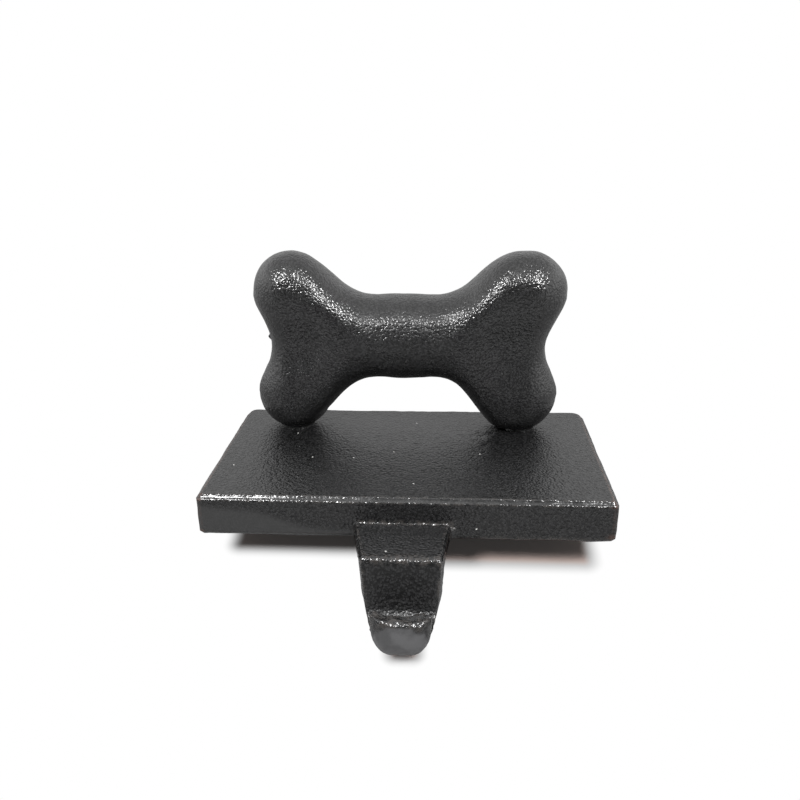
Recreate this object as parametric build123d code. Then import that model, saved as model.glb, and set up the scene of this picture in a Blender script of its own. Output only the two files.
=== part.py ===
from build123d import *
import os
from math import cos, radians, sin, tan

# Mantel stocking holder: one iron casting, painted black. A dog bone stands on its two lower lobes
# at the back of a flat plate, and a tapered hook leaves the plate's front to hold a stocking's loop.
# Millimetres. The origin is the middle of the plate's underside, +Z is up and the hook points to -Y.

# Plate
plate_width = 114.0
plate_depth = 63.5
plate_thickness = 12.0
plate_front_corner = 1.5       # corners seen from above
plate_back_corner = 4.0
plate_top_chamfer = 1.2
plate_bottom_chamfer = 0.8

# Bone
lobe_radius = 11.75
lobe_spacing = 72.2            # between the middles of the two pairs of lobes
lobe_rise = 33.7               # between the upper and lower lobe centres of one pair
left_lean = 0.8                # degrees that the left pair of lobes leans to the right
right_lean = 2.4               # degrees that the right pair does
neck_reach = 6.8               # end of the bone between two lobes, from the line of their centres
neck_half_width = 10.7         # front of the bone between two lobes, from the same line
shaft_radius = 13.2
shaft_raise = 2.0              # shaft's axis above the middle of the lobes
shaft_arc_start = 45.0         # degrees, where the upper and lower arcs of the round shaft begin
left_flare = 23.0              # along the bone, from the even shaft to where the left lobes are full
right_flare = 20.5             # and to where the right lobes are
left_stretch = 0.8             # along the bone, from there to the middle of the left pair
right_stretch = 4.2            # and of the right pair
lobe_step = 0.1                # how far the lobes stand out from the end of the flare
bone_setback = 12.2            # bone's axis to the plate's back face
bone_offset = -1.25            # bone's middle to the plate's middle, to the right
foot_sink = 0.5                # how far the lower lobes run into the plate
foot_radius = 6.6              # foot that flares out under each lower lobe
foot_taper = 20.0              # degrees, of the foot's side

# Hook
hook_root_width = 26.8
hook_tip_width = 14.8
hook_draft = 3.0               # degrees, on each side
hook_root_offset = -0.7        # hook's middle to the plate's middle, at its root and at its tip
hook_tip_offset = 0.7
tongue_thickness = 4.6         # its underside is level with the plate's
tongue_reach = 17.0            # plate's front face to the hook's drop face
drop_thickness = 6.0
drop_slope = 15.0              # degrees that the drop face leans towards the lip
hook_drop = 15.3               # plate's underside to the hook's lowest face
trough_width = 11.5            # top of the drop face to the lip
trough_depth = 7.0             # lip's rim to the trough's floor
trough_floor_thickness = 5.4
lip_thickness = 4.5
keel_slope = 12.0              # degrees that the hook's round underside rises towards the lip
keel_flat = 1.0                # width left flat between the round lower corners
shoulder_round = 1.5
trough_round = 2.8
rim_round = 1.6
toe_round = 6.0                # lip's front to the hook's lowest face
heel_round = 7.0               # hook's lowest face to the back of the drop
throat_round = 2.0             # back of the drop to the tongue's underside
hook_edge_chamfer = 0.8        # along the tongue's top
hook_tip_chamfer = 2.0         # lip's front to its sides
root_fillet = 3.0              # right side of the tongue to the plate's front

# Cross-sections that shape each flare, and each half of the neck between two lobes
flare_steps = 4
neck_steps = 2

# Places worked out from the sizes
plate_front = -plate_depth / 2
bone_y = plate_depth / 2 - bone_setback
bone_z = plate_thickness - foot_sink + lobe_radius + lobe_rise / 2
lobe_x = lobe_spacing / 2
lobe_z = lobe_rise / 2
hook_embed = plate_depth / 4   # hook's root inside the plate
trough_floor = trough_floor_thickness - hook_drop
drop_foot = tongue_reach + (tongue_thickness - trough_floor) * tan(radians(drop_slope))
lip_rim = trough_floor + trough_depth
lip_back = tongue_reach + trough_width
lip_front = lip_back + lip_thickness
trough_middle = (drop_foot + lip_back) / 2


def smooth(part):
    """Soft rise from 0 to 1."""
    return part * part * (3 - 2 * part)


def between(start, end, part):
    """Value that lies a part of the way from start to end."""
    return start + (end - start) * part


def make_plate():
    """Flat plate with rounded corners and a chamfer round its top and its underside."""
    outline = Rectangle(plate_width, plate_depth)
    outline = fillet(outline.vertices().group_by(Axis.Y)[-1], plate_back_corner)
    outline = fillet(outline.vertices().group_by(Axis.Y)[0], plate_front_corner)
    plate = extrude(outline, plate_thickness)
    plate = chamfer(plate.faces().sort_by(Axis.Z)[-1].edges(), plate_top_chamfer)
    return chamfer(plate.faces().sort_by(Axis.Z)[0].edges(), plate_bottom_chamfer)


def cross_plane(x, raised=0, part=1):
    """Plane across the bone at x, upright where part is 0 and leaning as the lobes do where it is 1."""
    lobe_lean = right_lean if x > 0 else left_lean
    lean = radians(lobe_lean * part)
    return Plane((x, 0, raised), x_dir=(0, 1, 0), z_dir=(cos(lean), 0, -sin(lean)))


def make_lobes():
    """Two balls above each other, joined by a waisted neck, about the point half way between them."""
    slices = []
    for step in range(-neck_steps, neck_steps + 1):
        level = step / neck_steps
        fullness = smooth(abs(level))
        half_width = between(neck_half_width, lobe_radius, fullness)
        reach = between(neck_reach, lobe_radius, fullness)
        slices.append(Plane.XZ.offset(-lobe_z * level) * Ellipse(half_width, reach))
    ball = Pos(0, lobe_z, 0) * Sphere(lobe_radius)
    return loft(slices) + ball + mirror(ball, Plane.XZ)


def cross_section(x, part):
    """Cross-section of the bone at x: a circle where part is 0, tall and waisted where it is 1."""
    blend = smooth(part)
    radius = between(shaft_radius, lobe_radius - lobe_step, blend)
    waist = between(shaft_radius, neck_half_width - lobe_step, blend)
    start = between(shaft_arc_start, 0, blend)
    top = CenterArc((0, lobe_z * blend), radius, start, 180 - 2 * start)
    bottom = mirror(top, Plane.XZ)
    slope = Vector(sin(radians(start)), -cos(radians(start)))
    side = Spline(top @ 0, (waist, 0), bottom @ 0, tangents=(slope, (-slope.X, slope.Y)))
    face = make_face(top + side + bottom + mirror(side, Plane.YZ))
    return cross_plane(x, between(shaft_raise, 0, blend), blend) * face


def flare_sections(full_x, length):
    """Cross-sections of one flare, from the even shaft over a length to full_x, where the lobes are full."""
    parts = [step / flare_steps for step in range(flare_steps + 1)]
    return [cross_section(full_x - length * (1 - part), part) for part in parts]


def make_foot(x):
    """Tapered foot from the middle of a lower lobe down to its lowest point."""
    middle = cross_plane(x).from_local_coords((0, -lobe_z))
    top_radius = foot_radius - lobe_radius * tan(radians(foot_taper))
    foot = Cone(foot_radius, top_radius, lobe_radius, align=(Align.CENTER, Align.CENTER, Align.MAX))
    return Pos(middle) * foot


def make_bone():
    """Bone about its own centre: a shaft that flares into a pair of lobes at each end, on two feet."""
    right = flare_sections(lobe_x - right_stretch, right_flare) + [cross_section(lobe_x, 1)]
    left = flare_sections(left_stretch - lobe_x, -left_flare) + [cross_section(-lobe_x, 1)]
    bone = loft(left[::-1] + [cross_section(0, 0)] + right)
    for x in (lobe_x, -lobe_x):
        bone = bone + cross_plane(x) * make_lobes() + make_foot(x)
    return bone


def hook_side():
    """The hook seen from its side, as a face in the plate's middle plane."""
    drop_back = tongue_reach - drop_thickness
    corners = [
        (-hook_embed, tongue_thickness, 0),
        (tongue_reach, tongue_thickness, shoulder_round),
        (drop_foot, trough_floor, trough_round),
        (lip_back, trough_floor, trough_round),
        (lip_back, lip_rim, rim_round),
        (lip_front, lip_rim, rim_round),
        (lip_front, -hook_drop, toe_round),
        (drop_back, -hook_drop, heel_round),
        (drop_back, 0, throat_round),
        (-hook_embed, 0, 0),
    ]
    points = [(forward, up) for forward, up, _ in corners]
    rounds = [radius for _, _, radius in corners]
    side = Plane((0, plate_front, 0), x_dir=(0, -1, 0), z_dir=(-1, 0, 0))
    return side * make_face(FilletPolyline(*points, radius=rounds, close=True))


def hook_middle(forward):
    """The hook's middle line, to the right of the plate's."""
    return between(hook_root_offset, hook_tip_offset, forward / lip_front)


def hook_half_width(forward, up):
    """Half the hook's width at a distance from the plate and at a height, with its taper and draft."""
    half_top = between(hook_root_width, hook_tip_width, forward / lip_front) / 2
    return half_top + (up - tongue_thickness) * tan(radians(hook_draft))


def hook_front(forward, narrowed=0):
    """The hook seen from the front, at a distance from the plate: chamfers, drafted sides, round keel."""
    top = tongue_thickness + hook_edge_chamfer
    side_top = tongue_thickness - hook_edge_chamfer
    bottom = (forward - trough_middle) * tan(radians(keel_slope)) - hook_drop
    half_side = hook_half_width(forward, side_top) - narrowed
    half_top = half_side + side_top - top
    half_bottom = hook_half_width(forward, bottom) - narrowed
    corner = half_bottom - keel_flat / 2
    points = [(half_top, top), (half_side, side_top), (half_bottom, bottom)]
    points += [(-half_bottom, bottom), (-half_side, side_top), (-half_top, top)]
    outline = FilletPolyline(*points, radius=(0, 0, corner, corner, 0, 0), close=True)
    front = Plane((hook_middle(forward), plate_front - forward, 0), x_dir=(1, 0, 0), z_dir=(0, -1, 0))
    return front * make_face(outline)


def make_root_web():
    """Fillet from the tongue's right side to the plate's front, between the chamfers above and below."""
    ends = (0, 2 * root_fillet)
    near, far = (hook_middle(end) + hook_half_width(end, 0) for end in ends)
    side = near + 2 * root_fillet
    points = [(0, -hook_embed), (side, -hook_embed), (side, 0), (near, 0), (far, ends[1]), (0, ends[1])]
    outline = FilletPolyline(*points, radius=(0, 0, 0, root_fillet, 0, 0), close=True)
    top = Plane((0, plate_front, tongue_thickness - hook_edge_chamfer), x_dir=(1, 0, 0), z_dir=(0, 0, -1))
    return extrude(top * make_face(outline), tongue_thickness - hook_edge_chamfer - plate_bottom_chamfer)


def make_hook():
    """Side view extruded and narrowed from its root to a chamfered tip."""
    blank = extrude(hook_side(), hook_root_width, both=True)
    tip = hook_front(lip_front + rim_round, hook_tip_chamfer + rim_round)
    sides = loft([hook_front(-hook_embed), hook_front(lip_front - hook_tip_chamfer), tip], ruled=True)
    return (blank & sides) + make_root_web()


holder = make_plate() + Pos(bone_offset, bone_y, bone_z) * make_bone() + make_hook()

os.makedirs("parts", exist_ok=True)
export_step(holder, "parts/stocking_holder.step")
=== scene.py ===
import math

import bmesh
import bpy
from mathutils import Matrix, Vector, noise


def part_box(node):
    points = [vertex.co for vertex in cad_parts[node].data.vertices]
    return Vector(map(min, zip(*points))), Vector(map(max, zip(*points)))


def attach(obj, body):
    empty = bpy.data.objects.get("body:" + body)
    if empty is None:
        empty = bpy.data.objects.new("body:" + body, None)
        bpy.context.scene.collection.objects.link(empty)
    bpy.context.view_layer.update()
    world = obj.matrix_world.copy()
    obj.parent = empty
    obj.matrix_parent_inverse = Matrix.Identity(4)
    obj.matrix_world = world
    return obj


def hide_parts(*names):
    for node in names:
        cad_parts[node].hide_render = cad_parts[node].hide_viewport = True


bl_info = {
    "name": "Mantel Stocking Holder",
    "version": (1, 0, 0),
    "blender": (4, 5, 0),
    "location": "3D View > Sidebar > Stocking Holder",
    "description": "Sand-cast bone stocking holder in black paint, on a white studio floor",
    "category": "Object",
}

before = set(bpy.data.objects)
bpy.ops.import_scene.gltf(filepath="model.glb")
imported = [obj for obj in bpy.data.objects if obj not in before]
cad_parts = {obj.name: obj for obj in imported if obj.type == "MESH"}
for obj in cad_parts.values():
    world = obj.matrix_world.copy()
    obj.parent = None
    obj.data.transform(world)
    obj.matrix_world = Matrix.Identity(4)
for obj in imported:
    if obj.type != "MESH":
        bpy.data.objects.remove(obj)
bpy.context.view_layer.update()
NODE = "stocking_holder"
PIECE = "cast_holder"
LOW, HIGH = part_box(NODE)
MM = 0.001


def mm(*values):
    """Millimetres as metres."""
    return tuple(value * MM for value in values)


# Places on the casting, in metres
PLATE_FRONT = -31.75 * MM
PLATE_TOP = 12.0 * MM
PLATE_EDGE = 57.0 * MM
PLATE_CORNER = Vector((PLATE_EDGE, PLATE_FRONT, 0.0))
CHAMFER_LOW = Vector((0.0, -31.75, 10.8)) * MM
CHAMFER_HIGH = Vector((0.0, -30.55, 12.0)) * MM
TONGUE_TOP = 4.6 * MM
TONGUE_HALF = 13.4 * MM
SHOULDER = PLATE_FRONT - 16.5 * MM
BONE_MIDDLE = Vector((-1.25, 19.55, 40.1)) * MM
LOBE_MIDDLE = 36.1 * MM
LIP_FRONT = LOW.y
LIP_MIDDLE = 0.3 * MM
RIM = -2.9 * MM
RIM_MIDDLE = 0.6 * MM
HOOK_BOTTOM = LOW.z
RIGHT_FOOT = Vector((27.0, 9.0, 12.0)) * MM
NOTCH_NIB = Vector((-44.3, 18.0, 42.3)) * MM
FEET = [Vector(place) * MM for place in ((-37.6, 19.55, 12.0), (34.15, 19.55, 12.0))]
DUST = [Vector(place) * MM for place in (
    (1.9, -22.4, 12.0), (-4.4, -2.1, 12.0), (-16.2, -6.6, 12.0), (-36.3, 11.0, 12.0),
    (-28.5, -6.6, 12.0), (1.4, 20.2, 12.0), (21.5, -2.8, 12.0), (-50.8, -12.7, 12.0),
    (19.4, -31.75, 3.3), (-4.0, -45.2, 4.6))]

# What the paint needs to know about each vertex of the skin, from 0 to 1
SKIN_LAYERS = ("edge", "facet", "lip", "rust", "dust", "crevice_shade", "dull", "smooth")


class CastingSettings(bpy.types.PropertyGroup):
    """Skin of the casting, as it came out of the sand."""

    skin_depth: bpy.props.IntProperty(
        name="Skin Depth", description="Octree depth of the even skin", default=8, min=5, max=9)
    skin_scale: bpy.props.FloatProperty(
        name="Skin Scale", description="Share of the octree that the casting fills", default=0.72,
        subtype="FACTOR")
    smooth_passes: bpy.props.IntProperty(
        name="Smooth Passes", description="Smoothing passes between the edges", default=2, min=0)
    lip_passes: bpy.props.IntProperty(
        name="Lip Passes", description="Smoothing passes of the lip's worn front", default=10, min=0)
    crisp_corner: bpy.props.FloatProperty(
        name="Crisp Corner", description="Inner corners sharper than this stay crisp",
        default=math.radians(22), subtype="ANGLE")
    lump_size: bpy.props.FloatProperty(
        name="Lump Size", description="Width of the broad lumps", default=9.0 * MM, unit="LENGTH")
    lump_height: bpy.props.FloatProperty(
        name="Lump Height", description="Height of the broad lumps", default=0.16 * MM, unit="LENGTH")
    pebble_size: bpy.props.FloatProperty(
        name="Pebble Size", description="Width of the small pebbles", default=2.2 * MM, unit="LENGTH")
    pebble_height: bpy.props.FloatProperty(
        name="Pebble Height", description="Height of the small pebbles", default=0.06 * MM, unit="LENGTH")
    bead_size: bpy.props.FloatProperty(
        name="Bead Size", description="Length of the beads of paint along the edges",
        default=1.3 * MM, unit="LENGTH")
    bead_height: bpy.props.FloatProperty(
        name="Bead Height", description="Height of the beads of paint along the edges",
        default=0.2 * MM, unit="LENGTH")
    rim_height: bpy.props.FloatProperty(
        name="Rim Roughness", description="Height of the uneven rim of the lip",
        default=0.75 * MM, unit="LENGTH")
    rim_rise: bpy.props.FloatProperty(
        name="Rim Rise", description="Rise of the lip's rim at its two ends",
        default=0.9 * MM, unit="LENGTH")
    foot_undercut: bpy.props.FloatProperty(
        name="Foot Undercut", description="How far the foot's flank draws in at the plate",
        default=0.9 * MM, unit="LENGTH")
    ridge_height: bpy.props.FloatProperty(
        name="Ridge Height", description="Height of the paint along the chamfer's two lines",
        default=0.13 * MM, unit="LENGTH")
    shaft_flat: bpy.props.FloatProperty(
        name="Shaft Flat", description="How far the shaft's front is flattened",
        default=0.5 * MM, unit="LENGTH")
    waist_hollow: bpy.props.FloatProperty(
        name="Waist Hollow", description="Depth of the shallow hollow between two lobes",
        default=0.7 * MM, unit="LENGTH")


class PaintSettings(bpy.types.PropertyGroup):
    """Black paint over the casting."""

    paint: bpy.props.FloatVectorProperty(
        name="Paint", description="Colour of the paint", subtype="COLOR", size=3, min=0, max=1,
        default=(0.003, 0.003, 0.0032))
    # Painted highlight: the tops of the grain are painted lighter, where light would catch them
    grain_top_highlight: bpy.props.FloatVectorProperty(
        name="Grain Top Highlight", description="Colour of the paint on the tops of the grain",
        subtype="COLOR", size=3, min=0, max=1, default=(0.021, 0.021, 0.0216))
    thin_paint: bpy.props.FloatVectorProperty(
        name="Thin Paint", description="Colour of the thin paint on the edges",
        subtype="COLOR", size=3, min=0, max=1, default=(0.045, 0.040, 0.037))
    ground_paint: bpy.props.FloatVectorProperty(
        name="Ground Paint", description="Colour of the paint on the ground face of the plate",
        subtype="COLOR", size=3, min=0, max=1, default=(0.037, 0.037, 0.037))
    worn_paint: bpy.props.FloatVectorProperty(
        name="Worn Paint", description="Colour of the lip's smooth front",
        subtype="COLOR", size=3, min=0, max=1, default=(0.068, 0.068, 0.070))
    rust: bpy.props.FloatVectorProperty(
        name="Rust", description="Colour of the rust under the hook",
        subtype="COLOR", size=3, min=0, max=1, default=(0.22, 0.09, 0.05))
    dust: bpy.props.FloatVectorProperty(
        name="Dust", description="Colour of the dust specks",
        subtype="COLOR", size=3, min=0, max=1, default=(0.75, 0.74, 0.72))
    gloss: bpy.props.FloatProperty(
        name="Roughness", description="Roughness of the sound paint", default=0.2, subtype="FACTOR")
    edge_gloss: bpy.props.FloatProperty(
        name="Edge Roughness", description="Roughness of the paint beads on the edges",
        default=0.16, subtype="FACTOR")
    ground_gloss: bpy.props.FloatProperty(
        name="Ground Roughness",
        description="Roughness of the paint on the ground patch and the lip's front",
        default=0.36, subtype="FACTOR")
    dull_gloss: bpy.props.FloatProperty(
        name="Dull Roughness", description="Roughness of the paint on the flat tops and the drop face",
        default=0.36, subtype="FACTOR")
    crevice_gloss: bpy.props.FloatProperty(
        name="Crevice Roughness", description="Roughness of the dull paint round the feet",
        default=0.5, subtype="FACTOR")
    grain_size: bpy.props.FloatProperty(
        name="Grain Size", description="Width of the sand grain", default=0.7 * MM, unit="LENGTH")
    grain_height: bpy.props.FloatProperty(
        name="Grain Height", description="Height of the sand grain", default=0.15 * MM, unit="LENGTH")


class StageSettings(bpy.types.PropertyGroup):
    """White floor, room, lamps and camera."""

    lens: bpy.props.FloatProperty(
        name="Lens", description="Focal length on a 36 mm sensor",
        default=34.84, subtype="DISTANCE_CAMERA")
    eye: bpy.props.FloatVectorProperty(
        name="Eye", description="Place of the camera", size=3, subtype="XYZ", unit="LENGTH",
        default=(10.23 * MM, -214.04 * MM, 112.55 * MM))
    sight: bpy.props.FloatVectorProperty(
        name="Sight", description="Direction that the camera looks in", size=3, subtype="DIRECTION",
        default=(-0.05613, 0.92876, -0.36640))
    roll: bpy.props.FloatProperty(
        name="Roll", description="Turn of the camera about its sight",
        default=math.radians(-0.635), subtype="ANGLE")
    left_lamp: bpy.props.FloatVectorProperty(
        name="Left Lamp", description="Azimuth from the front and elevation of the left lamp",
        size=2, subtype="EULER", default=(math.radians(-35), math.radians(43)))
    right_lamp: bpy.props.FloatVectorProperty(
        name="Right Lamp", description="Azimuth from the front and elevation of the right lamp",
        size=2, subtype="EULER", default=(math.radians(43), math.radians(46)))
    top_lamp: bpy.props.FloatVectorProperty(
        name="Top Lamp", description="Azimuth from the front and elevation of the soft top lamp",
        size=2, subtype="EULER", default=(math.radians(-12), math.radians(72)))
    lamp_distance: bpy.props.FloatProperty(
        name="Lamp Distance", description="Lamps to the holder", default=0.6, unit="LENGTH")
    lamp_size: bpy.props.FloatProperty(
        name="Lamp Size", description="Side of the two front lamps", default=0.13, unit="LENGTH")
    lamp_power: bpy.props.FloatProperty(
        name="Lamp Power", description="Power of each front lamp", default=2.8, unit="POWER")
    top_size: bpy.props.FloatProperty(
        name="Top Size", description="Side of the soft top lamp", default=0.3, unit="LENGTH")
    top_power: bpy.props.FloatProperty(
        name="Top Power", description="Power of the soft top lamp", default=0.2, unit="POWER")
    room_light: bpy.props.FloatProperty(
        name="Room Light", description="Strength of the white room as light",
        default=0.2, subtype="FACTOR")
    front_light: bpy.props.FloatProperty(
        name="Front Light", description="Strength of the room on the camera's side, beside its back",
        default=0.22, subtype="FACTOR")
    mirrored_room: bpy.props.FloatProperty(
        name="Mirrored Room", description="Strength of the white room as the paint mirrors it",
        default=0.95, subtype="FACTOR")
    side_light: bpy.props.FloatProperty(
        name="Side Light", description="How much brighter the room is at its two sides",
        default=0.6, subtype="FACTOR")
    shadow_colour: bpy.props.FloatVectorProperty(
        name="Warm Shadow", description="Colour of the floor under the holder",
        subtype="COLOR", size=3, min=0, max=1, default=(0.46, 0.37, 0.335))
    floor_colour: bpy.props.FloatVectorProperty(
        name="Floor", description="Colour of the floor",
        subtype="COLOR", size=3, min=0, max=1, default=(0.33, 0.33, 0.33))


def soft_step(low, high, value):
    """Soft rise from 0 at low to 1 at high."""
    part = min(max((value - low) / (high - low), 0.0), 1.0)
    return part * part * (3.0 - 2.0 * part)


def near(co, place, inner, outer):
    """1 within the inner distance of a place, 0 beyond the outer one."""
    return soft_step(outer, inner, (co - place).length)


def ripple(co, size, height):
    """Uneven height at a place, in lumps of one size."""
    return noise.noise(co / size) * height


def wave(x, size, height, row):
    """Uneven height along the plate's width, from its own row of the noise."""
    return noise.noise(Vector((x / size, row, 0.0))) * height


# Points of the solid's mesh that lie nearer than this are one
WELD_DISTANCE = 0.001 * MM


def even_skin(casting):
    """Copy of the solid's mesh as an even net of small faces with crisp edges."""
    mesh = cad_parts[NODE].data.copy()
    form = bmesh.new()
    form.from_mesh(mesh)
    bmesh.ops.remove_doubles(form, verts=form.verts, dist=WELD_DISTANCE)
    form.to_mesh(mesh)
    form.free()
    piece = bpy.data.objects.new(PIECE, mesh)
    bpy.context.scene.collection.objects.link(piece)
    remesh = piece.modifiers.new("Even Skin", "REMESH")
    remesh.mode = "SHARP"
    remesh.octree_depth = casting.skin_depth
    remesh.scale = casting.skin_scale
    remesh.use_remove_disconnected = False
    bpy.context.view_layer.update()
    shaped = piece.evaluated_get(bpy.context.evaluated_depsgraph_get())
    skin = bpy.data.meshes.new_from_object(shaped)
    if not skin.polygons:
        raise RuntimeError("The even skin of the casting came out empty")
    piece.modifiers.clear()
    piece.data = skin
    bpy.data.meshes.remove(mesh)
    skin.name = PIECE
    return piece


def bulge(vertex):
    """How far a vertex stands out of its neighbours, as a share of their distance."""
    middle = Vector()
    reach = 0.0
    for edge in vertex.link_edges:
        other = edge.other_vert(vertex)
        middle += other.co
        reach += edge.calc_length()
    count = len(vertex.link_edges)
    return (vertex.co - middle / count).dot(vertex.normal) / (reach / count)


# Kinds of values for the skin, apart from single lengths and shares:
# a pair is a ramp, with a share of 0 at its first value and 1 at its second,
# a RIPPLE is a size and a height, and a WAVE has a row of the noise as well,
# and NEAR is an inner distance, with a share of 1, and an outer one, with 0

# Ground patch on the plate's front: highest at the left end, lower towards the hook
FACET_LENGTH = 42 * MM
FACET_HEIGHT = 8.6 * MM
FACET_FALL = 7.0 * MM
FACET_FALLING = (0.1, 1.0)
FACET_WAVE = (11 * MM, 0.9 * MM, 3.0)
FACET_REACH = 1.0 * MM
FACET_DEPTH = mm(0.9, 0.3)
FACET_BORDER = mm(-1.4, 1.0)
FACET_END = mm(-12.5, -14.5)


def plate_facet(co):
    """1 on the lower left of the plate's front, which was ground flat before painting."""
    if co.y < PLATE_FRONT - FACET_REACH:
        return 0.0
    along = (co.x + PLATE_EDGE) / FACET_LENGTH
    border = FACET_HEIGHT - FACET_FALL * soft_step(*FACET_FALLING, along) + wave(co.x, *FACET_WAVE)
    share = soft_step(*FACET_DEPTH, co.y - PLATE_FRONT) * soft_step(*FACET_BORDER, border - co.z)
    return share * soft_step(*FACET_END, co.x)


# Worn front of the lip: its top is lower and its sides are nearer at the rough upper corners
LIP_TOP = RIM - 1.3 * MM
LIP_TOP_FALL = 1.8 * MM
LIP_TOP_RIPPLE = mm(1.8, 0.5)
LIP_TOP_BORDER = mm(0.5, -0.5)
LIP_CORNER = mm(2.5, 5.5)
LIP_HALF = 6.0 * MM
LIP_WIDENING = 2.0 * MM
LIP_WIDE = mm(3.5, 7.0)
LIP_SIDE_RIPPLE = mm(3, 0.6)
LIP_SIDE_BORDER = 0.6 * MM
LIP_DEPTH = mm(4.0, 3.0)


def lip_face(co):
    """1 on the smooth front of the lip, under its rough rim and between its rough upper corners."""
    aside = abs(co.x - LIP_MIDDLE) + ripple(co, *LIP_SIDE_RIPPLE)
    border = LIP_TOP - LIP_TOP_FALL * soft_step(*LIP_CORNER, aside) + ripple(co, *LIP_TOP_RIPPLE)
    half = LIP_HALF + LIP_WIDENING * soft_step(*LIP_WIDE, RIM - co.z)
    share = soft_step(*LIP_DEPTH, co.y - LIP_FRONT) * soft_step(*LIP_TOP_BORDER, co.z - border)
    return share * soft_step(half + LIP_SIDE_BORDER, half - LIP_SIDE_BORDER, aside)


# Rim of the lip
RIM_DEPTH = mm(7.5, 5.5)
RIM_FROM_BELOW = mm(-3.6, -1.6)
RIM_FROM_ABOVE = mm(2.0, 1.0)
RIM_SIDES = (1.0, 0.6)
RIM_ENDS = mm(4.0, 6.5)
RIM_LUMP = 2.3 * MM
RIM_FINE_LUMP = 1.2 * MM
RIM_FINE_SHARE = 0.7


def rough_rim(co):
    """1 on the uneven rim of the lip, 0 elsewhere."""
    share = soft_step(*RIM_DEPTH, co.y - LIP_FRONT) * soft_step(*RIM_FROM_BELOW, co.z - RIM)
    return share * soft_step(*RIM_FROM_ABOVE, co.z - RIM)


def raised_rim(vertex):
    """1 on the part of the rim that is raised, 0 on its two sides and elsewhere."""
    return rough_rim(vertex.co) * soft_step(*RIM_SIDES, abs(vertex.normal.x))


# Corner between the tongue and the plate's front
ROOT_DEPTH = mm(0.9, 0.4)
ROOT_RISE = mm(1.2, 0.5)
ROOT_END = mm(0.6, -0.6)
ROOT_HEIGHT = 0.22 * MM


def root_line(co):
    """1 along the corner between the tongue's top and the plate's front, where the paint gathered."""
    share = soft_step(*ROOT_DEPTH, abs(co.y - PLATE_FRONT))
    share *= soft_step(*ROOT_RISE, abs(co.z - TONGUE_TOP))
    return share * soft_step(*ROOT_END, abs(co.x) - TONGUE_HALF)


# Front chamfer of the plate
STRIP_HALF = mm(0.8, 0.35)
RIDGE_HALF = mm(0.5, 0.15)


def chamfer_away(co, line):
    """Distance across the plate's front chamfer from a line along it."""
    return math.hypot(co.y - line.y, co.z - line.z)


def chamfer_strip(co):
    """1 on the smooth strip between the chamfer's two beaded lines."""
    return soft_step(*STRIP_HALF, chamfer_away(co, (CHAMFER_LOW + CHAMFER_HIGH) / 2))


def chamfer_ridge(co):
    """1 along the chamfer's two lines, where the paint stands highest."""
    return soft_step(*RIDGE_HALF, min(chamfer_away(co, CHAMFER_LOW), chamfer_away(co, CHAMFER_HIGH)))


# Beads of paint
BULGED_EDGE = (0.06, 0.22)
SHOULDER_REACH = mm(2.0, 0.8)
RIM_BEADS = 0.8


def bead_share(co, bulged):
    """1 on the lines where the paint stands in beads: the edges, the hook's root and its shoulder."""
    shoulder = soft_step(*SHOULDER_REACH, abs(co.y - SHOULDER))
    shoulder *= soft_step(*SHOULDER_REACH, abs(co.z - TONGUE_TOP))
    return max(soft_step(*BULGED_EDGE, bulged), root_line(co), shoulder)


# Drop face of the hook
DROP_BACK = mm(-47.5, -49.0)
DROP_FRONT = mm(-55.0, -53.0)
DROP_TOP = mm(3.6, 2.6)
DROP_FOOT = mm(-6.5, -5.0)
DROP_HALF = mm(10.5, 9.0)
DROP_SMOOTHNESS = 0.7


def drop_face(co):
    """1 on the hook's drop face, under its shoulder."""
    share = soft_step(*DROP_BACK, co.y) * soft_step(*DROP_FRONT, co.y)
    return share * soft_step(*DROP_TOP, co.z) * soft_step(*DROP_HALF, abs(co.x))


# Flat tops of the plate and the tongue
FLAT_NORMAL = (0.95, 0.99)
FLAT_REACH = mm(0.4, 0.1)


def plate_top(vertex):
    """1 on the flat tops of the plate and the tongue, 0 on their edges and elsewhere."""
    flat = soft_step(*FLAT_NORMAL, vertex.normal.z)
    return flat * soft_step(*FLAT_REACH, min(abs(vertex.co.z - PLATE_TOP), abs(vertex.co.z - TONGUE_TOP)))


# Bone
SHAFT_ALONG = mm(22.0, 12.0)
SHAFT_UP = mm(22.0, 18.0)
SHAFT_DULLNESS = 0.5
FRONT_NORMAL = (0.0, -0.5)
LEVEL_NORMAL = (0.72, 0.25)
WAIST_UP = mm(13.0, 1.0)
WAIST_ALONG = mm(15.0, 5.0)


def bone_shaft(co):
    """1 along the middle of the bone's shaft, 0 towards its lobes."""
    away = co - BONE_MIDDLE
    return soft_step(*SHAFT_ALONG, abs(away.x)) * soft_step(*SHAFT_UP, abs(away.z))


def shaft_front(vertex):
    """1 on the front of the bone's shaft, which is a little flatter than round."""
    front = soft_step(*FRONT_NORMAL, vertex.normal.y) * soft_step(*LEVEL_NORMAL, abs(vertex.normal.z))
    return front * bone_shaft(vertex.co)


def bone_waist(vertex):
    """1 in the middle between two lobes of the bone, on its front and its back."""
    away = vertex.co - BONE_MIDDLE
    share = soft_step(*WAIST_UP, abs(away.z)) * soft_step(*WAIST_ALONG, abs(abs(away.x) - LOBE_MIDDLE))
    return share * vertex.normal.y ** 2


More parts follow.
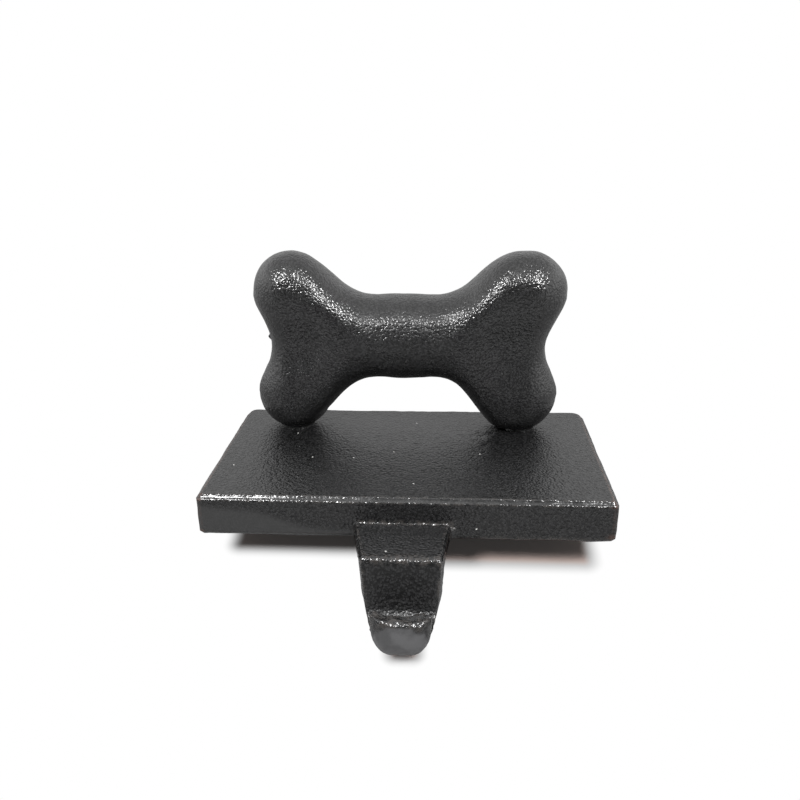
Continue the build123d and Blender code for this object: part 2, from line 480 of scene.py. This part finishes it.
# Heights of the skin
LUMP_DIMENSION = 1.0
LUMP_GAP = 2.0
LUMP_OCTAVES = 2
FLAT_CALM = 0.6
GROUND_CALM = 0.85
GROUND_DEPTH = 0.15 * MM
FRONT_EDGE = mm(-30.8, -31.5)
BEADS_ANYWHERE = 0.2
BEADS_AT_FRONT = 0.8
BEADS_AT_ROOT = 0.6
FOOT_LUMP_NEAR = mm(5, 11)
FOOT_LUMP_UP = mm(2.0, 0.5)
FOOT_LUMP_RIPPLE = mm(2.3, 0.28)
NIB_NEAR = mm(0.2, 1.2)
NIB_HEIGHT = 0.9 * MM


def skin_height(vertex, edge, facet, lip, top, casting):
    """How far a vertex of the even skin moves out: lumps, beads, a nib, hollows and ground faces."""
    co = vertex.co
    lumpy = 1.0 - FLAT_CALM * max(top, drop_face(co))
    lumps = noise.fractal(co / casting.lump_size, LUMP_DIMENSION, LUMP_GAP, LUMP_OCTAVES)
    height = lumps * casting.lump_height * lumpy
    height += ripple(co, casting.pebble_size, casting.pebble_height) * lumpy
    ridge = chamfer_ridge(co)
    root = root_line(co)
    in_front = max(soft_step(*FRONT_EDGE, co.y), ridge)
    beaded = BEADS_ANYWHERE + BEADS_AT_FRONT * in_front + BEADS_AT_ROOT * root
    height += edge * ripple(co, casting.bead_size, casting.bead_height) * beaded
    height += ridge * casting.ridge_height + root * ROOT_HEIGHT
    height -= bone_waist(vertex) * casting.waist_hollow + shaft_front(vertex) * casting.shaft_flat
    rim = raised_rim(vertex)
    height += rim * ripple(co, RIM_LUMP, casting.rim_height)
    height += rim * ripple(co, RIM_FINE_LUMP, casting.rim_height) * RIM_FINE_SHARE
    beside_foot = near(co, RIGHT_FOOT, *FOOT_LUMP_NEAR) * soft_step(*FOOT_LUMP_UP, abs(co.z - PLATE_TOP))
    height += beside_foot * ripple(co, *FOOT_LUMP_RIPPLE)
    height = height * (1.0 - GROUND_CALM * max(facet, lip)) - GROUND_DEPTH * facet
    return height + near(co, NOTCH_NIB, *NIB_NEAR) * NIB_HEIGHT


# Flanks of the feet, and the plate's lower edge to the right of the hook
FLANK_OUTER = mm(8.5, 6.8)
FLANK_INNER = mm(4.2, 5.6)
FLANK_UP = mm(1.6, 0.3)
LOWER_EDGE_UP = mm(3.2, 0.8)
LOWER_EDGE_DEPTH = mm(4.0, 1.0)
LOWER_EDGE_START = mm(14.0, 18.0)
LOWER_EDGE_WAVE = (9.0 * MM, 0.35 * MM, 7.0)


def skin_move(vertex, edge, facet, lip, top, casting):
    """How far and which way a vertex of the even skin moves, with its feet, rim and lower edge."""
    co = vertex.co
    move = vertex.normal * skin_height(vertex, edge, facet, lip, top, casting)
    for foot in FEET:
        inward = Vector((foot.x - co.x, foot.y - co.y, 0.0))
        flank = soft_step(*FLANK_OUTER, inward.length) * soft_step(*FLANK_INNER, inward.length)
        flank *= soft_step(*FLANK_UP, abs(co.z - foot.z))
        move += inward.normalized() * flank * casting.foot_undercut
    move.z += raised_rim(vertex) * soft_step(*RIM_ENDS, abs(co.x - RIM_MIDDLE)) * casting.rim_rise
    wavy = soft_step(*LOWER_EDGE_UP, co.z) * soft_step(*LOWER_EDGE_DEPTH, abs(co.y - PLATE_FRONT))
    move.z += wavy * soft_step(*LOWER_EDGE_START, co.x) * wave(co.x, *LOWER_EDGE_WAVE)
    return move


# Rust, and the crevices round the feet: dull paint, with painted shade in their colour
TOE_RUST = mm(3.0, 1.0)
TOE_RIPPLE = mm(2, 0.6)
CORNER_NEAR = mm(1.0, 4.0)
CORNER_RUST = 0.3
END_REACH = mm(54.5, 56.0)
END_RUST = 0.35
CREVICE_REACH = mm(9.5, 7.0)
CREVICE_FROM_BELOW = mm(0.2, 0.6)
CREVICE_FROM_ABOVE = mm(2.8, 1.4)


def rust_share(co, edge):
    """1 under the hook's toe, less on the plate's lower right corner and end edges: worn to rust."""
    toe = soft_step(*TOE_RUST, co.z - HOOK_BOTTOM + ripple(co, *TOE_RIPPLE))
    corner = near(co, PLATE_CORNER, *CORNER_NEAR)
    end = edge * soft_step(*END_REACH, abs(co.x))
    return max(toe, CORNER_RUST * corner, END_RUST * end)


def crevice_shade_share(co):
    """1 where the lower lobes meet the plate: dull paint there, and painted shade that darkens its
    colour.
    """
    share = 0.0
    for foot in FEET:
        aside = Vector((co.x - foot.x, co.y - foot.y)).length
        rise = co.z - foot.z
        flank = soft_step(*CREVICE_FROM_BELOW, rise) * soft_step(*CREVICE_FROM_ABOVE, rise)
        share = max(share, soft_step(*CREVICE_REACH, aside) * flank)
    return share


def paint_shares(co, edge, facet, lip, top):
    """What the paint needs to know about a place on the skin, apart from its dust."""
    drop = drop_face(co)
    return {
        "edge": max(edge, RIM_BEADS * rough_rim(co)),
        "facet": facet,
        "lip": lip,
        "rust": rust_share(co, edge),
        "crevice_shade": crevice_shade_share(co),
        "dull": max(top, SHAFT_DULLNESS * bone_shaft(co), drop),
        "smooth": max(chamfer_strip(co), DROP_SMOOTHNESS * drop * soft_step(*DROP_FOOT, co.z)),
    }


# Smoothing of the even skin
SMOOTHED_DEPTH = 6 * MM
SMOOTHED_TOP = RIM - 1.2 * MM
CRISP_REACH = 1.0 * MM
EVEN_BULGE = 0.05
SMOOTH_FACTOR = 0.5


def smooth_skin(form, vertices, passes):
    """Smooths some vertices of the skin."""
    for _ in range(passes):
        bmesh.ops.smooth_vert(
            form, verts=vertices, factor=SMOOTH_FACTOR, use_axis_x=True, use_axis_y=True, use_axis_z=True)
    form.normal_update()


def keep_corners_crisp(form, casting):
    """Keeps the sharp inner corners at the plate's top out of the smooth shading."""
    for edge in form.edges:
        at_top = abs(edge.verts[0].co.z - PLATE_TOP) < CRISP_REACH
        edge.smooth = not at_top or edge.calc_face_angle_signed(0.0) > -casting.crisp_corner


def shape_skin(piece, casting):
    """Raises the lumps of the cast skin between its edges, and keeps what the paint needs to know."""
    form = bmesh.new()
    form.from_mesh(piece.data)
    form.normal_update()
    lip_depth = LIP_FRONT + SMOOTHED_DEPTH
    worn = [vertex for vertex in form.verts if vertex.co.y < lip_depth and vertex.co.z < SMOOTHED_TOP]
    smooth_skin(form, worn, casting.lip_passes)
    keep_corners_crisp(form, casting)
    bulges = [bulge(vertex) for vertex in form.verts]
    even = [vertex for vertex, value in zip(form.verts, bulges) if abs(value) < EVEN_BULGE]
    smooth_skin(form, even, casting.smooth_passes)
    layers = {name: form.verts.layers.float.new(name) for name in SKIN_LAYERS}
    moves = []
    for vertex, value in zip(form.verts, bulges):
        co = vertex.co
        edge = bead_share(co, value)
        facet = plate_facet(co)
        lip = lip_face(co)
        top = plate_top(vertex)
        for name, share in paint_shares(co, edge, facet, lip, top).items():
            vertex[layers[name]] = share
        moves.append(skin_move(vertex, edge, facet, lip, top, casting))
    for place in DUST:
        nearest = min(form.verts, key=lambda vertex: (vertex.co - place).length_squared)
        nearest[layers["dust"]] = 1.0
    for vertex, move in zip(form.verts, moves):
        vertex.co += move
    for face in form.faces:
        face.smooth = True
    form.to_mesh(piece.data)
    form.free()


class Nodes:
    """Short way to place and link the nodes of one tree."""

    def __init__(self, tree):
        """Take the tree that the nodes go into."""
        self.tree = tree

    def add(self, kind, label, values=None, **settings):
        """New node with its settings, and with a link or a plain value for each input that is given."""
        node = self.tree.nodes.new(kind)
        node.label = label
        for key, value in settings.items():
            setattr(node, key, value)
        for key, value in (values or {}).items():
            if isinstance(value, bpy.types.NodeSocket):
                self.tree.links.new(value, node.inputs[key])
            else:
                node.inputs[key].default_value = value
        return node

    def math(self, operation, first, second, label):
        """Sum, product or the like of two values."""
        return self.add("ShaderNodeMath", label, {0: first, 1: second}, operation=operation).outputs[0]

    def vector(self, operation, values, label):
        """Vector math on one or two vectors."""
        return self.add("ShaderNodeVectorMath", label, dict(enumerate(values)), operation=operation)

    def ramp(self, value, ends, label, results=(0.0, 1.0)):
        """Soft rise from the first result to the second, as the value goes from end to end."""
        node = self.add("ShaderNodeMapRange", label, {
            "Value": value, "From Min": ends[0], "From Max": ends[1],
            "To Min": results[0], "To Max": results[1]}, interpolation_type="SMOOTHSTEP")
        return node.outputs["Result"]

    def cloud(self, place, per_metre, detail, label):
        """Noise over the surface, from 0 to 1."""
        values = {"Vector": place, "Scale": per_metre, "Detail": detail}
        return self.add("ShaderNodeTexNoise", label, values).outputs["Fac"]

    def blend(self, share, first, second, label):
        """Value between two others."""
        return self.add("ShaderNodeMix", label, {0: share, 2: first, 3: second}).outputs[0]

    def mix(self, share, first, second, label):
        """Colour between two others."""
        values = {0: share, 6: first, 7: second}
        return self.add("ShaderNodeMix", label, values, data_type="RGBA").outputs[2]

    def either(self, share, first, second, label):
        """Shader between two others."""
        values = {0: share, 1: first.outputs[0], 2: second.outputs[0]}
        return self.add("ShaderNodeMixShader", label, values)


def fresh_nodes(owner):
    """Empty node tree of a material or a world."""
    owner.use_nodes = True
    owner.node_tree.nodes.clear()
    return Nodes(owner.node_tree)


def rgba(colour):
    """A colour with full alpha."""
    return (*colour, 1.0)


def shade(colour, times):
    """A colour made paler or darker."""
    return tuple(min(part * times, 1.0) for part in colour)


# Sand grain: shares of the number of grains per metre, detail of each noise, softness and lit tops
COARSE_SAND = 0.6
COARSE_DETAIL = 2.0
FINE_SAND = 2.2
FINE_DETAIL = 1.0
GRAIN_SOFTNESS = 0.35
LIT_TOPS = (0.18, 0.44)


def sand_grain_group():
    """Height of the sand grain that shows through the paint, small uneven domes, and its lit tops."""
    tree = bpy.data.node_groups.new("sand_grain", "ShaderNodeTree")
    tree.interface.new_socket("Place", in_out="INPUT", socket_type="NodeSocketVector")
    tree.interface.new_socket("Grains per Metre", in_out="INPUT", socket_type="NodeSocketFloat")
    tree.interface.new_socket("Height", in_out="OUTPUT", socket_type="NodeSocketFloat")
    tree.interface.new_socket("Tops", in_out="OUTPUT", socket_type="NodeSocketFloat")
    nodes = Nodes(tree)
    inputs = nodes.add("NodeGroupInput", "In").outputs
    place = inputs["Place"]
    grains_per_metre = inputs["Grains per Metre"]
    coarse = nodes.math("MULTIPLY", grains_per_metre, COARSE_SAND, "Coarse")
    uneven = nodes.cloud(place, coarse, COARSE_DETAIL, "Uneven Sand")
    grains = nodes.add("ShaderNodeTexVoronoi", "Grains", {
        "Vector": place, "Scale": grains_per_metre, "Smoothness": GRAIN_SOFTNESS},
        feature="SMOOTH_F1").outputs["Distance"]
    domes = nodes.math("MULTIPLY", grains, grains, "Domes")
    height = nodes.math("SUBTRACT", uneven, domes, "Grain Height")
    fine = nodes.math("MULTIPLY", grains_per_metre, FINE_SAND, "Fine")
    sand = nodes.cloud(place, fine, FINE_DETAIL, "Fine Sand")
    tops = nodes.ramp(nodes.math("SUBTRACT", sand, domes, "Lit Tops"), LIT_TOPS, "Tops")
    nodes.add("NodeGroupOutput", "Out", {"Height": height, "Tops": tops})
    return tree


# Paint: patches and spots per metre, their detail and ramps, and shares of what they change
PATCHES = 240.0
SPOTS = 700.0
PATCH_DETAIL = 2.0
BROKEN_EDGE = (0.42, 0.62)
GROUND_SHARE = 0.7
WORN_PALER = 1.6
WORN_PATCHES = (0.35, 0.65)
RUST_SPOTS = (0.35, 0.6)
RUST_RESULTS = (0.3, 1.0)
DUST_SPECK = (0.5, 0.75)
GLOSS_PATCHES = (0.3, 0.7)
GLOSS_SPREAD = 0.05
SMOOTHED_GRAIN = {"facet": 0.45, "lip": 0.85, "smooth": 0.9}
PAINT_SPECULAR = 0.7


def paint_colour(nodes, paint, masks, tops, patches, spots):
    """Colour of the paint with painted highlights on the grain's tops, painted shade in the crevices
    round the feet, thin edges, ground and worn faces, rust and dust.
    """
    # Painted highlight: lighter colour on the tops of the grain
    colour = nodes.mix(tops, rgba(paint.paint), rgba(paint.grain_top_highlight), "Grain Highlight Colour")
    broken = nodes.ramp(spots, BROKEN_EDGE, "Broken Edge")
    thin = nodes.math("MULTIPLY", masks["edge"], broken, "Thin Paint")
    colour = nodes.mix(thin, colour, rgba(paint.thin_paint), "Paint Colour")
    # Painted shade: the crevices round the feet darkened to the bare paint colour, without lighter grain
    # tops or thin edges
    colour = nodes.mix(masks["crevice_shade"], colour, rgba(paint.paint), "Crevice Painted Shade")
    ground = nodes.math("MULTIPLY", masks["facet"], GROUND_SHARE, "Ground Share")
    colour = nodes.mix(ground, colour, rgba(paint.ground_paint), "Ground Colour")
    pale = rgba(shade(paint.worn_paint, WORN_PALER))
    worn_patches = nodes.ramp(patches, WORN_PATCHES, "Worn Patches")
    worn = nodes.mix(worn_patches, rgba(paint.worn_paint), pale, "Worn Shades")
    colour = nodes.mix(masks["lip"], colour, worn, "Worn Colour")
    rust_spots = nodes.ramp(spots, RUST_SPOTS, "Rust Spots", RUST_RESULTS)
    rusty = nodes.math("MULTIPLY", masks["rust"], rust_spots, "Rusty")
    colour = nodes.mix(rusty, colour, rgba(paint.rust), "Rust Colour")
    speck = nodes.ramp(masks["dust"], DUST_SPECK, "Dust Speck")
    return nodes.mix(speck, colour, rgba(paint.dust), "Dusty Colour")


def paint_roughness(nodes, paint, masks, patches):
    """Roughness of the paint, which changes in patches and from face to face."""
    sound = (paint.gloss - GLOSS_SPREAD, paint.gloss + GLOSS_SPREAD)
    rough = nodes.ramp(patches, GLOSS_PATCHES, "Gloss Patches", sound)
    rough = nodes.blend(masks["dull"], rough, paint.dull_gloss, "Dull Gloss")
    rough = nodes.blend(masks["edge"], rough, paint.edge_gloss, "Bead Gloss")
    ground = nodes.math("MAXIMUM", masks["facet"], masks["lip"], "Ground")
    rough = nodes.blend(ground, rough, paint.ground_gloss, "Ground Gloss")
    return nodes.blend(masks["crevice_shade"], rough, paint.crevice_gloss, "Crevice Gloss")


def grain_bump(nodes, paint, masks, height):
    """Normal of the grain, which is partly lost on ground, worn and smooth faces."""
    lost = 0.0
    for name, share in SMOOTHED_GRAIN.items():
        smoothed = nodes.math("MULTIPLY", masks[name], share, name.title() + " Grain")
        lost = nodes.math("MAXIMUM", lost, smoothed, "Lost Grain")
    kept = nodes.math("MULTIPLY", height, nodes.math("SUBTRACT", 1.0, lost, "Left"), "Grain Kept")
    bump = nodes.add("ShaderNodeBump", "Grain Bump", {
        "Height": kept, "Strength": 1.0, "Distance": paint.grain_height})
    return bump.outputs["Normal"]


def black_paint(paint):
    """Semi-gloss black paint over sand grain, beaded on the edges and smooth where it was ground."""
    material = bpy.data.materials.new("black_cast_paint")
    nodes = fresh_nodes(material)
    place = nodes.add("ShaderNodeTexCoord", "Place").outputs["Object"]
    masks = {
        name: nodes.add("ShaderNodeAttribute", name.title(), attribute_name=name).outputs["Fac"]
        for name in SKIN_LAYERS}
    grain = nodes.add("ShaderNodeGroup", "Sand Grain", node_tree=sand_grain_group())
    nodes.tree.links.new(place, grain.inputs["Place"])
    grain.inputs["Grains per Metre"].default_value = 1.0 / paint.grain_size
    patches = nodes.cloud(place, PATCHES, PATCH_DETAIL, "Patches")
    spots = nodes.cloud(place, SPOTS, PATCH_DETAIL, "Thin Spots")
    shader = nodes.add("ShaderNodeBsdfPrincipled", "Paint", {
        "Base Color": paint_colour(nodes, paint, masks, grain.outputs["Tops"], patches, spots),
        "Roughness": paint_roughness(nodes, paint, masks, patches),
        "Normal": grain_bump(nodes, paint, masks, grain.outputs["Height"]),
        "Specular IOR Level": PAINT_SPECULAR})
    nodes.add("ShaderNodeOutputMaterial", "Surface", {"Surface": shader.outputs["BSDF"]})
    return material


class HOLDER_OT_casting(bpy.types.Operator):
    """Make the holder's casting from the solid, with its cast skin and black paint"""

    bl_idname = "stocking_holder.casting"
    bl_label = "Casting"

    def execute(self, context):
        """Make the piece and put it in the solid's place."""
        casting = context.scene.holder_casting
        piece = even_skin(casting)
        shape_skin(piece, casting)
        piece.data.materials.clear()
        piece.data.materials.append(black_paint(context.scene.holder_paint))
        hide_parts(NODE)
        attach(piece, "root")
        return {"FINISHED"}


# Floor: limits in depth of the points that it touches, search for its slope, and its size
HOOK_POINTS = PLATE_FRONT - 9 * MM
REAR_POINTS = -PLATE_FRONT - 3 * MM
STEEPEST = math.radians(30)
HALVINGS = 40
FLOOR_REACH = 6.0
FLOOR_SQUARES = 8


def floor_slope():
    """Normal and height of the floor that the hook's lowest face and the plate's rear edge touch."""
    points = [vertex.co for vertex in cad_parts[NODE].data.vertices]
    front = [co for co in points if co.y < HOOK_POINTS]
    back = [co for co in points if co.y > REAR_POINTS]
    low, high = 0.0, STEEPEST
    for _ in range(HALVINGS):
        angle = (low + high) / 2
        up = Vector((0, -math.sin(angle), math.cos(angle)))
        if min(co.dot(up) for co in front) < min(co.dot(up) for co in back):
            low = angle
        else:
            high = angle
    return up, min(co.dot(up) for co in back)


# Shadow on the floor: middle and half size of each block beside which it falls, its reach and its white
LEFT_HALF = (mm(-23, 0.0), mm(25, 20))
RIGHT_HALF = (mm(25, 0.0), mm(25, 24))
HOOK_TOE = (mm(1.0, -57), mm(2, 1))
HOOK_FADE = 1.4
TALL = 9.0
WARM_REACH = mm(0.0, 3)
SHADOW_REACH = mm(0.0, 6.5)
SHADOW_WHITE = (0.02, 1.0)
FAR_FLOOR = (0.08, 0.2)
FAR_WHITE = (0.0, 0.5)

# Paper of the floor: fibres per metre, their detail and ramp, how much paler they are, and plain white
FIBRES = 60.0
FIBRE_DETAIL = 4.0
FIBRE_SHADE = (0.3, 0.7)
FIBRE_PALER = 1.02
WHITE = (1.0, 1.0, 1.0, 1.0)


def beside(nodes, place, block, label):
    """Distance on the floor from an upright block with a middle and half its width and depth."""
    middle, half = block
    away = nodes.vector("SUBTRACT", (place, (*middle, 0.0)), label + " Middle").outputs[0]
    away = nodes.vector("ABSOLUTE", (away,), label + " Side").outputs[0]
    away = nodes.vector("SUBTRACT", (away, (*half, TALL)), label + " Edge").outputs[0]
    away = nodes.vector("MAXIMUM", (away,), label + " Outside").outputs[0]
    return nodes.vector("LENGTH", (away,), label + " Away").outputs["Value"]


def shadow_away(nodes, place):
    """Distance on the floor from the plate's two halves and the hook's toe."""
    left = beside(nodes, place, LEFT_HALF, "Left Half")
    right = beside(nodes, place, RIGHT_HALF, "Right Half")
    plate = nodes.math("MINIMUM", left, right, "Plate")
    hook = nodes.math("MULTIPLY", beside(nodes, place, HOOK_TOE, "Hook"), HOOK_FADE, "Hook Scaled")
    return nodes.math("MINIMUM", plate, hook, "Distance")


def white_floor(stage):
    """White paper, seen from above only, with the holder's soft shadow, and plain white further off."""
    material = bpy.data.materials.new("white_paper")
    nodes = fresh_nodes(material)
    place = nodes.add("ShaderNodeTexCoord", "Place").outputs["Object"]
    fibre = nodes.cloud(place, FIBRES, FIBRE_DETAIL, "Fibre")
    fibre = nodes.ramp(fibre, FIBRE_SHADE, "Fibre Shade")
    pale = rgba(shade(stage.floor_colour, FIBRE_PALER))
    colour = nodes.mix(fibre, rgba(stage.floor_colour), pale, "Paper Colour")
    away = shadow_away(nodes, place)
    warm = nodes.ramp(away, WARM_REACH, "Warm Shade", (1.0, 0.0))
    colour = nodes.mix(warm, colour, rgba(stage.shadow_colour), "Shadow Colour")
    paper = nodes.add("ShaderNodeBsdfDiffuse", "Paper", {"Color": colour})
    rays = nodes.add("ShaderNodeLightPath", "Rays").outputs
    beyond = nodes.ramp(away, SHADOW_REACH, "Beside", SHADOW_WHITE)
    seen = nodes.math("MULTIPLY", rays["Is Camera Ray"], beyond, "Seen")
    far_off = nodes.ramp(away, FAR_FLOOR, "Far", FAR_WHITE)
    mirrored = nodes.math("MULTIPLY", rays["Is Glossy Ray"], far_off, "Mirrored")
    plain = nodes.math("MAXIMUM", seen, mirrored, "Seen or Mirrored Far Off")
    white = nodes.add("ShaderNodeEmission", "White", {"Color": WHITE, "Strength": 1.0})
    lit = nodes.either(plain, paper, white, "Lit Paper")
    back = nodes.add("ShaderNodeNewGeometry", "Side").outputs["Backfacing"]
    clear = nodes.add("ShaderNodeBsdfTransparent", "Clear")
    both = nodes.either(back, lit, clear, "Paper Side")
    nodes.add("ShaderNodeOutputMaterial", "Surface", {"Surface": both.outputs[0]})
    return material


def add_floor(stage):
    """Wide floor that the holder stands on as it does without a mantel: on its hook and its rear edge."""
    up, height = floor_slope()
    form = bmesh.new()
    turn = up.to_track_quat("Z", "Y").to_matrix().to_4x4()
    bmesh.ops.create_grid(
        form, x_segments=FLOOR_SQUARES, y_segments=FLOOR_SQUARES, size=FLOOR_REACH,
        matrix=Matrix.Translation(up * height) @ turn)
    mesh = bpy.data.meshes.new("white_floor")
    form.to_mesh(mesh)
    form.free()
    mesh.materials.append(white_floor(stage))
    floor = bpy.data.objects.new("white_floor", mesh)
    bpy.context.scene.collection.objects.link(floor)


# Room: how its brightness changes from the camera's side to the back and the top, and to its sides
UP_SHARE = 0.8
FRONT_TO_BACK = (-0.9, 0.1)
TO_THE_SIDES = (0.5, 0.9)


def add_room(stage):
    """Plain white room: white where it is seen, dimmer on the camera's side, and dimmer as light."""
    world = bpy.data.worlds.new("white_room")
    bpy.context.scene.world = world
    nodes = fresh_nodes(world)
    way = nodes.add("ShaderNodeTexCoord", "Way").outputs["Object"]
    parts = nodes.add("ShaderNodeSeparateXYZ", "Way Parts", {0: way}).outputs
    upward = nodes.math("MULTIPLY", parts["Z"], UP_SHARE, "Up")
    back = nodes.math("ADD", parts["Y"], upward, "Back and Up")
    wall = nodes.ramp(back, FRONT_TO_BACK, "Front to Back", (stage.front_light, 1.0))
    aside = nodes.math("ABSOLUTE", parts["X"], 0.0, "Aside")
    sides = nodes.ramp(aside, TO_THE_SIDES, "Sides", (0.0, stage.side_light))
    wall = nodes.math("ADD", wall, sides, "Walls")
    rays = nodes.add("ShaderNodeLightPath", "Rays").outputs
    mirrored = nodes.math("MAXIMUM", rays["Is Glossy Ray"], rays["Is Transmission Ray"], "Mirrored")
    light = nodes.ramp(mirrored, (0.0, 1.0), "Light", (stage.room_light, stage.mirrored_room))
    light = nodes.math("MULTIPLY", wall, light, "Room Strength")
    strength = nodes.math("MAXIMUM", light, rays["Is Camera Ray"], "Seen")
    room = nodes.add("ShaderNodeBackground", "Room", {"Color": WHITE, "Strength": strength})
    nodes.add("ShaderNodeOutputWorld", "World", {"Surface": room.outputs[0]})


def add_lamp(name, aim, size, power, distance):
    """Square lamp that faces the holder from an azimuth, an elevation and a distance."""
    middle = (LOW + HIGH) / 2
    azimuth, elevation = aim
    level = math.cos(elevation)
    way = Vector((math.sin(azimuth) * level, -math.cos(azimuth) * level, math.sin(elevation)))
    light = bpy.data.lights.new(name, "AREA")
    light.shape = "SQUARE"
    light.size = size
    light.energy = power
    lamp = bpy.data.objects.new(name, light)
    turn = way.to_track_quat("Z", "Y").to_matrix().to_4x4()
    lamp.matrix_world = Matrix.Translation(middle + way * distance) @ turn
    bpy.context.scene.collection.objects.link(lamp)


# Camera: its sensor in millimetres, and the nearest distance that it sees in metres
SENSOR_WIDTH = 36.0
NEAREST_SEEN = 0.01


def add_camera(stage):
    """Camera in front of the holder, a little above it and to its right."""
    sight = Vector(stage.sight).normalized()
    level = sight.cross(Vector((0, 0, 1))).normalized()
    rise = level.cross(sight)
    right = level * math.cos(stage.roll) + rise * math.sin(stage.roll)
    above = right.cross(sight)
    turn = Matrix((right, above, -sight)).transposed()
    data = bpy.data.cameras.new("camera")
    data.sensor_width = SENSOR_WIDTH
    data.lens = stage.lens
    data.clip_start = NEAREST_SEEN
    camera = bpy.data.objects.new("camera", data)
    camera.matrix_world = Matrix.Translation(stage.eye) @ turn.to_4x4()
    bpy.context.scene.collection.objects.link(camera)
    bpy.context.scene.camera = camera


class HOLDER_OT_stage(bpy.types.Operator):
    """Set up the white floor, the room, the three lamps and the camera"""

    bl_idname = "stocking_holder.stage"
    bl_label = "Stage"

    def execute(self, context):
        """Add the stage to the scene."""
        stage = context.scene.holder_stage
        context.scene.view_settings.view_transform = "Standard"
        add_floor(stage)
        add_room(stage)
        front = (stage.lamp_size, stage.lamp_power)
        top = (stage.top_size, stage.top_power)
        for name, (size, power) in (("left_lamp", front), ("right_lamp", front), ("top_lamp", top)):
            add_lamp(name, getattr(stage, name), size, power, stage.lamp_distance)
        add_camera(stage)
        return {"FINISHED"}


class HOLDER_PT_panel(bpy.types.Panel):
    """Settings and steps of the stocking holder"""

    bl_idname = "HOLDER_PT_panel"
    bl_label = "Stocking Holder"
    bl_space_type = "VIEW_3D"
    bl_region_type = "UI"
    bl_category = "Stocking Holder"

    def draw(self, context):
        """List the settings in three boxes, and then the steps."""
        scene = context.scene
        for settings in (scene.holder_casting, scene.holder_paint, scene.holder_stage):
            box = self.layout.box()
            for name in settings.__annotations__:
                box.prop(settings, name)
        for operator in (HOLDER_OT_casting, HOLDER_OT_stage):
            self.layout.operator(operator.bl_idname)


CLASSES = (
    CastingSettings, PaintSettings, StageSettings, HOLDER_OT_casting, HOLDER_OT_stage, HOLDER_PT_panel)


def register():
    """Add the settings, the steps and the panel."""
    for one in CLASSES:
        bpy.utils.register_class(one)
    bpy.types.Scene.holder_casting = bpy.props.PointerProperty(type=CastingSettings)
    bpy.types.Scene.holder_paint = bpy.props.PointerProperty(type=PaintSettings)
    bpy.types.Scene.holder_stage = bpy.props.PointerProperty(type=StageSettings)


def unregister():
    """Take them away again."""
    del bpy.types.Scene.holder_stage
    del bpy.types.Scene.holder_paint
    del bpy.types.Scene.holder_casting
    for one in reversed(CLASSES):
        bpy.utils.unregister_class(one)


def main():
    """Build the holder and its stage."""
    register()
    bpy.ops.stocking_holder.casting()
    bpy.ops.stocking_holder.stage()


if __name__ == "__main__":
    main()
